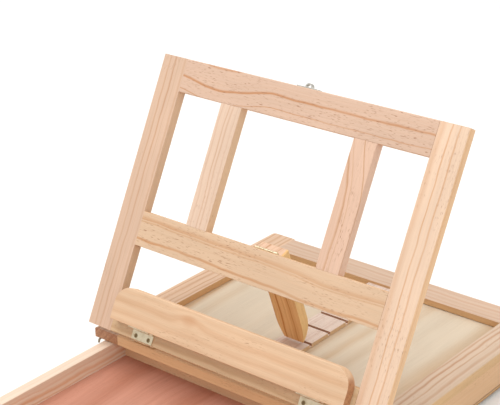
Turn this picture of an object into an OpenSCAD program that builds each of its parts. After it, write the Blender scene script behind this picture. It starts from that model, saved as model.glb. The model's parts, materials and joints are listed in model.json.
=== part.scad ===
// Table-top artist easel: a shallow box with one drawer, a slotted top, and a picture frame
// that leans back on a hinged prop. Drawn with the frame raised and the drawer pulled out.

/* [Frame] */
// Width of the tilting frame
frame_w = 340; // [280:1:420]
// Height of the tilting frame
frame_h = 270; // [240:1:330]
// Thickness of the frame's boards
frame_t = 10.5; // [8:0.5:14]
// Width of the two stiles
stile_w = 29.5; // [22:0.5:36]
// Height of the top rail
top_rail_h = 32; // [26:0.5:38]
// Height of the middle rail
mid_rail_h = 33.5; // [26:0.5:38]
// Height of the bottom rail
bottom_rail_h = 33.5; // [26:0.5:38]
// Height of the middle rail's lower edge above the frame's bottom
mid_rail_low = 86; // [75:1:100]
// Width of each mullion
mullion_w = 24.5; // [18:0.5:30]
// Distance of each mullion's centre line from the middle
mullion_x = 75.5; // [55:0.5:90]
// Lean of the raised frame above flat, in degrees
lean = 62.5; // [55:0.5:70]

/* [Ledge] */
// Length of the picture ledge
ledge_len = 272; // [200:1:300]
// Height of the ledge when it is folded up
ledge_h = 34.3; // [26:0.1:40]
// Thickness of the ledge
ledge_t = 10.5; // [8:0.5:14]
// Radius of the ledge's two free corners
ledge_corner = 17; // [6:0.5:20]
// Gap between the folded ledge and the frame
ledge_gap = 0.3; // [0.2:0.1:1]
// Height of the ledge's pivot above the frame's bottom
ledge_pivot_v = 11.3; // [10.8:0.1:14]
// Distance of each ledge hinge from the middle
ledge_hinge_x = 99.6; // [70:0.1:110]

/* [Prop] */
// Slope of the raised prop below level, in degrees
prop_slope = 70.11; // [60:0.01:80]
// Width of the prop
prop_w = 30.6; // [22:0.1:36]
// Thickness of the prop
prop_t = 10.5; // [8:0.5:12]
// Width of the prop's tip
prop_tip_w = 22; // [14:0.5:26]
// Length over which the edges draw in to the tip
prop_taper = 24; // [16:1:32]
// Thickness of the prop at its tip
prop_tip_t = 1.6; // [1:0.1:4]
// Length over which the prop's back rounds off
prop_nose = 30; // [20:1:40]
// Gap between the raised prop's foot and the rack
foot_gap = 1.8; // [1.6:0.1:2.6]
// Distance of the prop's upper end from its pivot
prop_end = 4; // [1.6:0.1:4.4]
// Height of the prop's pivot above the middle rail's top edge
prop_pivot_rise = 0.4; // [0.3:0.1:1]

/* [Box] */
// Width of the box top
rim_w = 338; // [280:1:420]
// Depth of the box top
rim_d = 282; // [250:1:340]
// Thickness of the box top's rails
rim_t = 10.5; // [9:0.5:14]
// Width of the side rails
rim_side_w = 30.5; // [24:0.5:36]
// Width of the front rail
rim_front_w = 30.5; // [24:0.5:36]
// Width of the rear rail
rim_rear_w = 33; // [24:0.5:36]
// Rounding of the box top's outer edges
rim_round = 3; // [1:0.5:4]
// Rounding of the two rear corners
rim_corner = 7; // [4:0.5:12]
// Depth of the top panel below the rails' top faces
panel_drop = 7.1; // [6.8:0.1:7.3]
// Thickness of the top panel
panel_t = 3; // [2.4:0.1:3.2]
// How far the top panel reaches under the rails
panel_lap = 6; // [4:0.5:8]
// Gap between the panel's face and the rail above it
panel_gap = 0.2; // [0.1:0.1:0.5]
// The same gap under the rear rail
panel_rear_gap = 0.8; // [0.2:0.1:1.2]
// Inset of the box sides under the rails
side_inset = 4; // [3:0.5:6]
// Thickness of the box sides
side_t = 7.5; // [6:0.5:10]
// Thickness of the box back
back_t = 8; // [6:0.5:12]
// Height inside the box, below the rails
box_clear_h = 30.5; // [28:0.5:44]
// Thickness of the bottom panel
bottom_t = 4; // [3:0.5:6]
// Radius of each foot
foot_r = 6.5; // [5:0.5:9]
// Height of each foot
foot_h = 5; // [4:0.5:8]
// Distance of the feet from the box's sides and ends
foot_inset = 20; // [14:1:40]

/* [Rack] */
// Width of the slotted rack
rack_w = 32.8; // [30.8:0.1:36]
// Thickness of the slotted rack
rack_t = 4.5; // [4:0.1:4.6]
// Distance from one slot to the next
slot_pitch = 29.5; // [26:0.5:31]
// Distance of the first slot from the front of the box top
slot_first = 75.8; // [60:0.1:80]
// Number of slots
slot_count = 6; // [3:1:6]
// Width of each slot
slot_w = 3.5; // [2.5:0.1:5]
// Depth of each slot
slot_depth = 3; // [2:0.1:3.5]

/* [Drawer] */
// Length of the drawer, front face to back face
drawer_len = 250; // [200:1:260]
// How far the drawer is pulled out
drawer_out = 222; // [80:1:222]
// Thickness of the drawer's front
drawer_front_t = 10.5; // [8:0.5:14]
// Thickness of the drawer's sides
drawer_side_t = 11.5; // [8:0.5:14]
// Thickness of the drawer's back
drawer_back_t = 11; // [8:0.5:14]
// Depth from the top of the drawer's sides to its floor
drawer_depth = 20; // [16:0.5:24]
// Thickness of the drawer's floor
drawer_floor_t = 3; // [2:0.5:4]
// How far the floor is let into the sides
floor_lap = 4; // [2:0.5:6]
// Clearance at each side of the drawer
drawer_clear = 0.5; // [0.3:0.1:1.5]
// Clearance above the drawer
drawer_head = 1; // [0.5:0.1:2]
// Clearance under the drawer
drawer_foot = 0.5; // [0.3:0.1:1]
// Diameter of the knob
knob_d = 20; // [14:1:26]
// Length that the knob stands out
knob_len = 18; // [12:1:24]

/* [Hinges] */
// Length of each hinge
leaf_len = 25.7; // [22:0.1:30]
// Width of a leaf from its pivot
leaf_w = 10.2; // [9:0.1:12]
// Width of the leaf that lies on the ledge's edge
edge_leaf_w = 8.6; // [8:0.1:10]
// Thickness of the leaves
leaf_t = 0.9; // [0.8:0.1:1.1]
// Radius of the hinge barrels
barrel_r = 1.4; // [1.3:0.05:1.45]
// Radius of the hinge pins
pin_r = 0.75; // [0.6:0.05:0.85]
// Radial clearance between a pin and its barrel
pin_clear = 0.05; // [0.02:0.01:0.1]
// Distance from a pivot to the face that its leaf lies on
pin_off = 1.5; // [1.5:0.05:1.8]
// Distance of the frame's pivot from the front of the box top
pivot_y = 2.7; // [2.5:0.1:4]
// Distance of each frame hinge from the stile beside it
frame_hinge_gap = 22.6; // [10:0.1:40]
// Distance of each hinge screw from the hinge's middle
screw_x = 7.9; // [6:0.1:9]
// Distance of the hinge screws from the pivot
screw_y = 6.6; // [5.8:0.1:7]
// Radius of a screw's head
screw_head_r = 2.1; // [1.6:0.1:2.4]
// Radius of a screw's shank
screw_r = 1.1; // [0.8:0.1:1.3]
// Length of a screw
screw_len = 8; // [5:0.5:9]

/* [Hook and catch] */
// Radius of the hook's wire
wire_r = 1.1; // [0.8:0.1:1.3]
// Radius of the rear bail's wire
bail_wire_r = 0.8; // [0.6:0.1:1]
// Distance of the hook from the box's side
hook_stand = 2.5; // [2.5:0.1:3]
// Length of the hook from its pivot to its bend
hook_len = 20; // [18:1:24]
// Length of the hook's bent tip
hook_tip = 5; // [4:0.5:6]
// Rise of the hook when it is unhooked, in degrees
hook_rise = 20; // [14:1:22]
// Distance of the hook's pivot from the front of the box top
hook_pivot_y = 23; // [22:0.5:30]
// Distance of the hook's pivot below the box top
hook_drop = 10.3; // [10:0.1:15]
// Distance of the rear bail's pivot from the box top
bail_stand = 3; // [2.8:0.1:5]
// Width of the catch plate on the frame
catch_w = 25; // [18:1:30]
// Height of the catch plate
catch_h = 8; // [6:0.5:9]
// How far the catch's staple stands out
staple_out = 5; // [4:0.5:6]
// Width of the catch's staple
staple_w = 7.5; // [6:0.5:9]
// Length of the rear bail's arms
bail_len = 18; // [14:0.5:20]
// Width of the rear bail, centre to centre of its arms
bail_w = 18; // [16:0.5:22]

/* [Edges] */
// Rounding of the exposed board edges
ease = 1.2; // [0.6:0.1:1.5]
// Rounding of the inner board edges
small_ease = 0.5; // [0.3:0.1:0.8]

/* [Hidden] */
$fn = 48;
// A cut runs this far past the faces that it opens
past = 1;
// Side of the object: left is -1, right is 1
left = -1;
right = 1;

pine = "#e6c7a8";
pine_dark = "#be8851";
plywood = "#dec9ae";
rack_wood = "#dcbfa9";
drawer_wood = "#ce9e8b";
brass = "#c3b59a";
nickel = "#d6d3cc";
bronze = "#5a4a38";
rubber = "#2c2a28";

// Rounding of the edges that meet another board
crisp = 0.2;
// How much smaller a foot's underside is, in radius
foot_draft = 1;

// Levels, measured up from the box top's upper faces
rack_top = rack_t - panel_drop;
box_top = -rim_t;
box_floor = box_top - box_clear_h;
box_low = box_floor - bottom_t;
ground = box_low - foot_h;

// Box
side_x = rim_w / 2 - side_inset;
side_front = drawer_front_t + drawer_clear;
box_rear = rim_d - side_inset;
rail_gap_x = rim_w / 2 - rim_side_w;
rear_rail_y = rim_d - rim_rear_w;

// Frame, drawn flat: v runs from its bottom edge to its top edge, and its back is at zero
frame_gap = 2 * pin_off;
frame_y = pivot_y + pin_off;
mid_rail_top = mid_rail_low + mid_rail_h;
top_rail_low = frame_h - top_rail_h;
stile_x = frame_w / 2 - stile_w;

// Ledge, drawn on the flat frame
ledge_pivot_w = frame_t + pin_off;
ledge_low = ledge_pivot_v + pin_off;

// Prop
prop_pivot_v = mid_rail_top + prop_pivot_rise;
// Radius of the arc that takes the prop's back down to its tip
nose_drop = prop_t - prop_tip_t;
nose_r = (prop_nose * prop_nose + nose_drop * nose_drop) / (2 * nose_drop);
// Radius of the arcs that draw the prop's edges in
taper_in = (prop_w - prop_tip_w) / 2;
taper_r = (prop_taper * prop_taper + taper_in * taper_in) / (2 * taper_in);
// Length from pivot to tip that sets the raised prop's foot foot_gap above the rack
prop_pivot_z = pin_off + (frame_y + prop_pivot_v - pivot_y) * sin(lean);
prop_len = (prop_pivot_z - rack_top - foot_gap + pin_off * cos(prop_slope)) / sin(prop_slope);
arc_steps = 16;

// Hinges
bore_r = pin_r + pin_clear;
frame_hinge_x = stile_x - frame_hinge_gap - leaf_len / 2;
knuckle_count = 5;
knuckle_gap = 0.3;
knuckle_pitch = leaf_len / knuckle_count;
barrel_space = 0.35;
// How far a pin stands out at each end of its barrel
pin_over = 0.3;
// The cross cut in a screw's head
cross_len = 1.2 * screw_head_r;
cross_w = 0.5;
cross_deep = 0.5;
plate_corners = [2, 2, 2, 2];

// Drawer
drawer_x = side_x - side_t - drawer_clear;
drawer_top = box_top - drawer_head;
drawer_low = box_floor + drawer_foot;
drawer_inner_x = drawer_x - drawer_side_t;
floor_top = drawer_top - drawer_depth;
drawer_front_y = -drawer_out;
drawer_back_y = drawer_front_y + drawer_len - drawer_back_t;
front_low = box_low + drawer_foot;
knob_neck_r = 5;
knob_base_r = 7;
knob_base_t = 2;
knob_z = (drawer_top + front_low) / 2;

// Hook and eye
hook_x = -side_x - hook_stand;
hook_pivot_z = box_top - hook_drop;
ring_clear = 0.1;
hook_screw_r = 1.1;
hook_screw_in = 6;
hook_ring_r = hook_screw_r + ring_clear + wire_r;
eye_wire_r = 0.5;
eye_r = 1.9;
// How far the eye is below the middle of the level hook's tip
eye_low = 0.5;
eye_y = drawer_front_y + hook_pivot_y - hook_len;
eye_z = hook_pivot_z - hook_tip / 2 - eye_low;
hook_head_t = 0.9;
hook_head_r = 2.3;
hook_head_top_r = 1.4;

// Bail on the back of the box top
plate_t = 1;
bail_axis_y = rim_d + bail_stand;
bail_axis_z = -rim_t / 2;
bail_tube_r = 1.5;
bail_tube_gap = 2;
bail_tube_len = bail_w - 2 * bail_tube_gap;
bail_bore_r = bail_wire_r + pin_clear;
bail_plate_w = 36;
bail_plate_h = 6.5;
bail_screw_edge = 3.5;
bail_screw_x = bail_plate_w / 2 - bail_screw_edge;

// Catch on the top rail's edge
catch_screw_edge = 4;
catch_screw_x = catch_w / 2 - catch_screw_edge;
catch_v = frame_h;
strap_t = 1;
strap_w = 4;

// The object's own frame: centred over its footprint, standing on zero
shift_y = (bail_axis_y + bail_tube_r + knob_len + drawer_out) / 2 - (bail_axis_y + bail_tube_r);

module place() {
  translate([0, shift_y, -ground]) children();
}

// Puts what is drawn on the flat frame where the raised frame is
module on_frame() {
  place()
    translate([0, pivot_y, pin_off])
      rotate([lean, 0, 0])
        translate([0, frame_y - pivot_y, frame_gap - pin_off])
          children();
}

// Puts what is drawn along +Y from the prop's pivot where the raised frame holds the prop
module on_prop() {
  on_frame()
    translate([0, prop_pivot_v, -pin_off])
      rotate([-prop_slope - lean, 0, 0])
        children();
}

module on_drawer() {
  place() translate([0, drawer_front_y, 0]) children();
}

// A rectangle with rounded corners, r = [low left, low right, high right, high left]
module soft_rect(w, h, r) {
  difference() {
    square([w, h]);
    translate([0, 0]) corner_cut(r[0], 0);
    translate([w, 0]) corner_cut(r[1], 90);
    translate([w, h]) corner_cut(r[2], 180);
    translate([0, h]) corner_cut(r[3], 270);
  }
}

module corner_cut(r, turn) {
  rotate(turn)
    difference() {
      translate([-past, -past]) square(r + past);
      translate([r, r]) circle(r);
    }
}

// Boards: the low corner is at zero and r rounds the edges that run along the length
module board_x(len, w, h, r) {
  rotate([90, 0, 90]) linear_extrude(len) soft_rect(w, h, r);
}

module board_y(w, len, h, r) {
  translate([0, len, 0]) rotate([90, 0, 0]) linear_extrude(len) soft_rect(w, h, r);
}

// A stile or side rail seen from above keeps its own corner radii
module board_y_cornered(w, len, h, edge, corner) {
  intersection() {
    board_y(w, len, h, edge);
    translate([0, 0, -past]) linear_extrude(h + 2 * past) soft_rect(w, len, corner);
  }
}

// Box

// A side rail with a rebate for the panel, drawn for the right side
module rim_side_rail() {
  difference() {
    translate([rail_gap_x, 0, -rim_t])
      board_y_cornered(rim_side_w, rim_d, rim_t,
        [small_ease, small_ease, rim_round, small_ease], [small_ease, small_ease, rim_corner, small_ease]);
    translate([rail_gap_x - past, rim_front_w - panel_lap, -rim_t - past])
      cube([panel_lap + past, rear_rail_y - rim_front_w + 2 * panel_lap, rim_t + past - panel_drop + panel_gap]);
  }
}

module rim_side_rail_right() {
  color(pine) place() rim_side_rail();
}

module rim_side_rail_left() {
  color(pine) place() mirror([1, 0, 0]) rim_side_rail();
}

module rim_front_rail() {
  color(pine) place() difference() {
    translate([-rail_gap_x, 0, -rim_t])
      board_x(2 * rail_gap_x, rim_front_w, rim_t, [small_ease, small_ease, small_ease, rim_round / 2]);
    translate([-rail_gap_x - past, rim_front_w - panel_lap, -rim_t - past])
      cube([2 * (rail_gap_x + past), panel_lap + past, rim_t + past - panel_drop + panel_gap]);
  }
}

module rim_rear_rail() {
  color(pine) place() difference() {
    translate([-rail_gap_x, rear_rail_y, -rim_t])
      board_x(2 * rail_gap_x, rim_rear_w, rim_t, [small_ease, small_ease, rim_round, small_ease]);
    translate([-rail_gap_x - past, rear_rail_y - past, -rim_t - past])
      cube([2 * (rail_gap_x + past), panel_lap + past, rim_t + past - panel_drop + panel_rear_gap]);
  }
}

module top_panel() {
  panel_x = rail_gap_x + panel_lap - panel_gap;
  panel_y = rim_front_w - panel_lap + panel_gap;
  color(plywood) place()
    translate([-panel_x, panel_y, -panel_drop - panel_t])
      cube([2 * panel_x, rear_rail_y + panel_lap - panel_gap - panel_y, panel_t]);
}

// The strip with the slots that the prop's foot is set in
module prop_rack() {
  color(rack_wood) place() difference() {
    translate([-rack_w / 2, rim_front_w, -panel_drop])
      board_y(rack_w, rear_rail_y - rim_front_w, rack_t, [crisp, crisp, small_ease, small_ease]);
    for (i = [0:slot_count - 1])
      translate([-rack_w, slot_first + i * slot_pitch - slot_w / 2, rack_top - slot_depth])
        cube([2 * rack_w, slot_w, slot_depth + past]);
  }
}

module box_side() {
  translate([side_x - side_t, side_front, box_floor])
    board_y(side_t, box_rear - back_t - side_front, box_clear_h, [crisp, small_ease, crisp, crisp]);
}

module box_side_right() {
  color(pine) place() box_side();
}

module box_side_left() {
  color(pine) place() mirror([1, 0, 0]) box_side();
}

module box_back() {
  color(pine) place()
    translate([-side_x, box_rear - back_t, box_floor])
      board_x(2 * side_x, back_t, box_clear_h, [crisp, small_ease, crisp, crisp]);
}

module box_bottom() {
  color(plywood) place()
    translate([-side_x, side_front, box_low])
      cube([2 * side_x, box_rear - side_front, bottom_t]);
}

module feet() {
  color(rubber) place()
    for (x = [left, right], y = [side_front + foot_inset, box_rear - foot_inset])
      translate([x * (side_x - foot_inset), y, ground])
        cylinder(h = foot_h, r1 = foot_r - foot_draft, r2 = foot_r);
}

// Hinges

// A leaf on a face at -pin_off below its pivot: the pivot is the X axis and the leaf runs along +Y.
// first is the first of its knuckles, and it has every second one.
module hinge_leaf(width, first) {
  difference() {
    union() {
      translate([-leaf_len / 2, 0, -pin_off]) cube([leaf_len, width, leaf_t]);
      for (i = [first:2:knuckle_count - 1]) knuckle(i, barrel_r, knuckle_gap / 2);
    }
    for (i = [1 - first:2:knuckle_count - 1]) knuckle(i, barrel_r + barrel_space, -knuckle_gap / 2);
    translate([-leaf_len / 2 - past, 0, 0]) rotate([0, 90, 0]) cylinder(h = leaf_len + 2 * past, r = bore_r);
    for (s = [left, right])
      translate([s * screw_x, screw_y, -pin_off]) {
        translate([0, 0, -past]) cylinder(h = leaf_t + 2 * past, r = screw_r + pin_clear);
        cylinder(h = leaf_t + pin_clear, r1 = screw_r + pin_clear, r2 = screw_head_r + 2 * pin_clear);
      }
  }
}

// One knuckle of the barrel, shortened at each end by gap
module knuckle(i, r, gap) {
  translate([-leaf_len / 2 + i * knuckle_pitch + gap, 0, 0])
    rotate([0, 90, 0])
      cylinder(h = knuckle_pitch - 2 * gap, r = r);
}

module hinge_pin() {
  translate([-leaf_len / 2 - pin_over, 0, 0]) rotate([0, 90, 0])
    cylinder(h = leaf_len + 2 * pin_over, r = pin_r);
}

// The two screws of a leaf that lies below its pivot
module leaf_screws() {
  for (s = [left, right])
    translate([s * screw_x, screw_y, -pin_off])
      countersunk_screw();
}

// A cross-head countersunk screw driven down into a face at zero, through a plate leaf_t thick
module countersunk_screw() {
  difference() {
    union() {
      cylinder(h = leaf_t, r1 = screw_r, r2 = screw_head_r);
      translate([0, 0, leaf_t - screw_len]) cylinder(h = screw_len - leaf_t / 2, r = screw_r);
    }
    for (turn = [0, 90])
      rotate(turn)
        translate([-cross_len / 2, -cross_w / 2, leaf_t - cross_deep])
          cube([cross_len, cross_w, past]);
  }
}

// Frame hinges
module frame_hinge_box_leaf_left() {
  color(brass) place() translate([left * frame_hinge_x, pivot_y, pin_off]) hinge_leaf(leaf_w, 0);
}

module frame_hinge_box_leaf_right() {
  color(brass) place() translate([right * frame_hinge_x, pivot_y, pin_off]) hinge_leaf(leaf_w, 0);
}

module box_hinge_screws() {
  color(brass) place()
    for (s = [left, right])
      translate([s * frame_hinge_x, pivot_y, pin_off]) leaf_screws();
}

// Turns a leaf over so that it lies under the flat frame, with its pivot below the frame's bottom edge
module under_frame(x, v) {
  on_frame() translate([x, v, -pin_off]) mirror([0, 0, 1]) children();
}

module frame_hinge_frame_leaf_left() {
  color(brass) under_frame(left * frame_hinge_x, -pin_off) hinge_leaf(leaf_w, 1);
}

module frame_hinge_frame_leaf_right() {
  color(brass) under_frame(right * frame_hinge_x, -pin_off) hinge_leaf(leaf_w, 1);
}

module frame_hinge_pins() {
  color(brass)
    for (s = [left, right])
      under_frame(s * frame_hinge_x, -pin_off) hinge_pin();
}

// Ledge hinges: one leaf on the frame's face runs down, one on the ledge's edge runs forward
module at_ledge_hinge(x) {
  on_frame() translate([x, ledge_pivot_v, ledge_pivot_w]) children();
}

module ledge_hinge_frame_leaf(s) {
  color(brass) at_ledge_hinge(s * ledge_hinge_x) mirror([0, 1, 0]) hinge_leaf(leaf_w, 0);
}

module ledge_hinge_frame_leaf_left() {
  ledge_hinge_frame_leaf(left);
}

module ledge_hinge_frame_leaf_right() {
  ledge_hinge_frame_leaf(right);
}

module ledge_hinge_ledge_leaf(s) {
  color(brass) at_ledge_hinge(s * ledge_hinge_x) rotate([90, 0, 0]) hinge_leaf(edge_leaf_w, 1);
}

module ledge_hinge_ledge_leaf_left() {
  ledge_hinge_ledge_leaf(left);
}

module ledge_hinge_ledge_leaf_right() {
  ledge_hinge_ledge_leaf(right);
}

module ledge_hinge_pins() {
  color(brass)
    for (s = [left, right])
      at_ledge_hinge(s * ledge_hinge_x) hinge_pin();
}

// Prop hinge: one leaf under the middle rail runs down, one lies on the prop's front face
module prop_hinge_frame_leaf() {
  color(brass) under_frame(0, prop_pivot_v) mirror([0, 1, 0]) hinge_leaf(leaf_w, 0);
}

module prop_hinge_pin() {
  color(brass) under_frame(0, prop_pivot_v) hinge_pin();
}

module prop_hinge_prop_leaf() {
  color(brass) on_prop() mirror([0, 0, 1]) hinge_leaf(leaf_w, 1);
}

module frame_hinge_screws() {
  color(brass) {
    for (s = [left, right]) {
      under_frame(s * frame_hinge_x, -pin_off) leaf_screws();
      at_ledge_hinge(s * ledge_hinge_x) mirror([0, 1, 0]) leaf_screws();
    }
    under_frame(0, prop_pivot_v) mirror([0, 1, 0]) leaf_screws();
  }
}

// Frame

module stile() {
  translate([stile_x, 0, 0])
    board_y_cornered(stile_w, frame_h, frame_t,
      [small_ease, ease, ease, small_ease], [small_ease, ease, ease, small_ease]);
}

module stile_right() {
  color(pine) on_frame() stile();
}

module stile_left() {
  color(pine) on_frame() mirror([1, 0, 0]) stile();
}

// A rail between the stiles, with its lower edge at v
module frame_rail(v, h, edge) {
  on_frame() translate([-stile_x, v, 0]) board_x(2 * stile_x, h, frame_t, edge);
}

module top_rail() {
  color(pine) frame_rail(top_rail_low, top_rail_h, [small_ease, ease, ease, small_ease]);
}

module mid_rail() {
  color(pine) frame_rail(mid_rail_low, mid_rail_h, [small_ease, small_ease, small_ease, small_ease]);
}

module bottom_rail() {
  color(pine) frame_rail(0, bottom_rail_h, [small_ease, small_ease, small_ease, ease]);
}

module mullion(s) {
  color(pine) on_frame()
    translate([s * mullion_x - mullion_w / 2, mid_rail_top, 0])
      board_y(mullion_w, top_rail_low - mid_rail_top, frame_t, [small_ease, small_ease, small_ease, small_ease]);
}

module mullion_left() {
  mullion(left);
}

module mullion_right() {
  mullion(right);
}

// Catch: a thin plate on the top rail's edge with a raised staple
module catch_plate() {
  color(nickel) on_frame()
    translate([0, catch_v, frame_t / 2]) rotate([-90, 0, 0]) {
      difference() {
        translate([-catch_w / 2, -catch_h / 2, 0]) linear_extrude(leaf_t) soft_rect(catch_w, catch_h, plate_corners);
        for (s = [left, right])
          translate([s * catch_screw_x, 0, 0]) {
            translate([0, 0, -past]) cylinder(h = leaf_t + 2 * past, r = screw_r + pin_clear);
            cylinder(h = leaf_t + pin_clear, r1 = screw_r + pin_clear, r2 = screw_head_r + 2 * pin_clear);
          }
      }
      staple();
    }
}

// A strap bent to a half round, open from side to side
module staple() {
  half = staple_w / 2;
  rise = staple_out - half;
  translate([0, strap_w / 2, 0]) rotate([90, 0, 0]) linear_extrude(strap_w) {
    difference() {
      union() {
        translate([-half, leaf_t / 2]) square([staple_w, rise - leaf_t / 2]);
        translate([0, rise]) circle(half);
      }
      translate([-half + strap_t, leaf_t]) square([staple_w - 2 * strap_t, rise - leaf_t]);
      translate([0, rise]) circle(half - strap_t);
      translate([-half - past, leaf_t / 2 - staple_w]) square([staple_w + 2 * past, staple_w]);
    }
  }
}

module catch_screws() {
  color(nickel) on_frame()
    for (s = [left, right])
      translate([s * catch_screw_x, catch_v, frame_t / 2]) rotate([-90, 0, 0]) countersunk_screw();
}

// Ledge

module ledge() {
  color(pine) on_frame()
    intersection() {
      translate([-ledge_len / 2, ledge_low, frame_t + ledge_gap])
        board_x(ledge_len, ledge_h, ledge_t, [small_ease, ease, ease, small_ease]);
      translate([-ledge_len / 2, ledge_low, frame_t])
        linear_extrude(ledge_gap + ledge_t + past)
          soft_rect(ledge_len, ledge_h, [ease, ease, ledge_corner, ledge_corner]);
    }
}

module ledge_screws() {
  color(brass)
    for (s = [left, right])
      at_ledge_hinge(s * ledge_hinge_x) rotate([90, 0, 0]) leaf_screws();
}

// Prop

// Points of an arc that leaves (x, y) along +X and has fallen by r * (1 - cos(a)) at each angle a
function fall_arc(x, y, r, sweep) =
  [for (i = [0:arc_steps]) let (a = sweep * i / arc_steps) [x + r * sin(a), y - r * (1 - cos(a))]];

// Half of the prop's outline from above, turned so that its length runs along X
module prop_half_face() {
  polygon(concat(
    [[prop_end, -past], [prop_end, prop_w / 2 - ease], [prop_end + ease, prop_w / 2]],
    fall_arc(prop_len - prop_taper, prop_w / 2, taper_r, asin(prop_taper / taper_r)),
    [[prop_len, -past]]));
}

// The prop's side view: its back comes down to the tip along one arc
module prop_profile() {
  polygon(concat(
    [[prop_end, small_ease], [prop_end, prop_t - small_ease], [prop_end + small_ease, prop_t]],
    fall_arc(prop_len - prop_nose, prop_t, nose_r, asin(prop_nose / nose_r)),
    [[prop_len, 0], [prop_end + small_ease, 0]]));
}

module prop() {
  color(pine_dark) on_prop()
    translate([0, 0, pin_off])
      intersection() {
        translate([0, 0, -past]) linear_extrude(prop_t + 2 * past)
          for (s = [0, 1]) mirror([s, 0]) mirror([1, -1]) prop_half_face();
        translate([-prop_w / 2 - past, 0, 0])
          rotate([90, 0, 90]) linear_extrude(prop_w + 2 * past) prop_profile();
      }
}

module prop_screws() {
  color(brass) on_prop() mirror([0, 0, 1]) leaf_screws();
}

// Drawer

module drawer_front() {
  color(pine) on_drawer()
    translate([-side_x, 0, front_low])
      board_x(2 * side_x, drawer_front_t, drawer_top - front_low, [ease, small_ease, small_ease, ease]);
}

module drawer_side() {
  difference() {
    translate([drawer_inner_x, drawer_front_t, drawer_low])
      board_y(drawer_side_t, drawer_len - drawer_front_t, drawer_top - drawer_low,
        [small_ease, small_ease, small_ease, small_ease]);
    translate([drawer_inner_x - past, 0, floor_top - drawer_floor_t])
      cube([floor_lap + past, drawer_len + past, drawer_floor_t]);
  }
}

module drawer_side_right() {
  color(pine) on_drawer() drawer_side();
}

module drawer_side_left() {
  color(pine) on_drawer() mirror([1, 0, 0]) drawer_side();
}

// The back stands on the floor, between the sides
module drawer_back() {
  color(pine) on_drawer()
    translate([-drawer_inner_x, drawer_len - drawer_back_t, floor_top])
      board_x(2 * drawer_inner_x, drawer_back_t, drawer_depth, [crisp, crisp, small_ease, small_ease]);
}

module drawer_floor() {
  color(drawer_wood) on_drawer()
    translate([-drawer_inner_x - floor_lap, drawer_front_t, floor_top - drawer_floor_t])
      cube([2 * (drawer_inner_x + floor_lap), drawer_len - drawer_front_t, drawer_floor_t]);
}

// A turned knob with its axis along -Y
module drawer_knob() {
  head = knob_d / 2;
  third = knob_len / 3;
  color(pine) on_drawer()
    translate([0, 0, knob_z]) rotate([90, 0, 0]) {
      cylinder(h = knob_base_t, r = knob_base_r);
      cylinder(h = knob_len / 2, r = knob_neck_r);
      translate([0, 0, third]) cylinder(h = third, r1 = knob_neck_r, r2 = head);
      translate([0, 0, 2 * third])
        intersection() {
          cylinder(h = third, r = head);
          translate([0, 0, third - 2 * head]) sphere(2 * head);
        }
    }
}

// Hook and eye

module hook_eye() {
  color(bronze) place() {
    translate([hook_x, eye_y, eye_z]) rotate_extrude() translate([eye_r, 0]) circle(eye_wire_r);
    translate([-side_x + hook_screw_in, eye_y, eye_z]) rotate([0, -90, 0])
      cylinder(h = hook_screw_in + hook_stand - eye_r, r = eye_wire_r);
  }
}

// The hook, drawn level and then raised about its pivot
module hook() {
  color(bronze) place()
    translate([hook_x, hook_pivot_y, hook_pivot_z])
      rotate([-hook_rise, 0, 0]) {
        rotate([0, 90, 0]) rotate_extrude() translate([hook_ring_r, 0]) circle(wire_r);
        translate([0, -hook_ring_r, 0]) rotate([90, 0, 0]) cylinder(h = hook_len - hook_ring_r, r = wire_r);
        translate([0, -hook_len, 0]) sphere(wire_r);
        translate([0, -hook_len, -hook_tip]) cylinder(h = hook_tip, r = wire_r);
      }
}

module hook_screw() {
  color(bronze) place()
    translate([-side_x, hook_pivot_y, hook_pivot_z]) {
      translate([hook_screw_in, 0, 0]) rotate([0, -90, 0])
        cylinder(h = hook_screw_in + hook_stand + wire_r + ring_clear, r = hook_screw_r);
      translate([-hook_stand - wire_r - ring_clear, 0, 0]) rotate([0, -90, 0])
        cylinder(h = hook_head_t, r1 = hook_head_r, r2 = hook_head_top_r);
    }
}

// Bail

module bail_plate() {
  color(nickel) place() difference() {
    union() {
      translate([0, rim_d, bail_axis_z]) rotate([-90, 0, 0])
        translate([-bail_plate_w / 2, -bail_plate_h / 2, 0])
          linear_extrude(plate_t) soft_rect(bail_plate_w, bail_plate_h, plate_corners);
      translate([-bail_tube_len / 2, bail_axis_y, bail_axis_z])
        rotate([0, 90, 0]) cylinder(h = bail_tube_len, r = bail_tube_r);
      translate([-bail_tube_len / 2, rim_d + plate_t / 2, bail_axis_z - bail_tube_r / 2])
        cube([bail_tube_len, bail_axis_y - rim_d - plate_t / 2, bail_tube_r]);
    }
    translate([-bail_tube_len, bail_axis_y, bail_axis_z])
      rotate([0, 90, 0]) cylinder(h = 2 * bail_tube_len, r = bail_bore_r);
    for (s = [left, right])
      translate([s * bail_screw_x, rim_d, bail_axis_z]) rotate([-90, 0, 0]) {
        translate([0, 0, -past]) cylinder(h = plate_t + 2 * past, r = screw_r + pin_clear);
        cylinder(h = leaf_t + pin_clear, r1 = screw_r + pin_clear, r2 = screw_head_r + 2 * pin_clear);
        translate([0, 0, leaf_t]) cylinder(h = past, r = screw_head_r + 2 * pin_clear);
      }
  }
}

module bail_screws() {
  color(nickel) place()
    for (s = [left, right])
      translate([s * bail_screw_x, rim_d, bail_axis_z]) rotate([-90, 0, 0]) countersunk_screw();
}

// A closed wire loop that hangs from the tube
module bail() {
  half = bail_w / 2;
  color(nickel) place() translate([0, bail_axis_y, bail_axis_z]) {
    for (z = [0, -bail_len])
      translate([-half, 0, z]) rotate([0, 90, 0]) cylinder(h = bail_w, r = bail_wire_r);
    for (s = [left, right]) {
      translate([s * half, 0, -bail_len]) cylinder(h = bail_len, r = bail_wire_r);
      for (z = [0, -bail_len]) translate([s * half, 0, z]) sphere(bail_wire_r);
    }
  }
}

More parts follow.
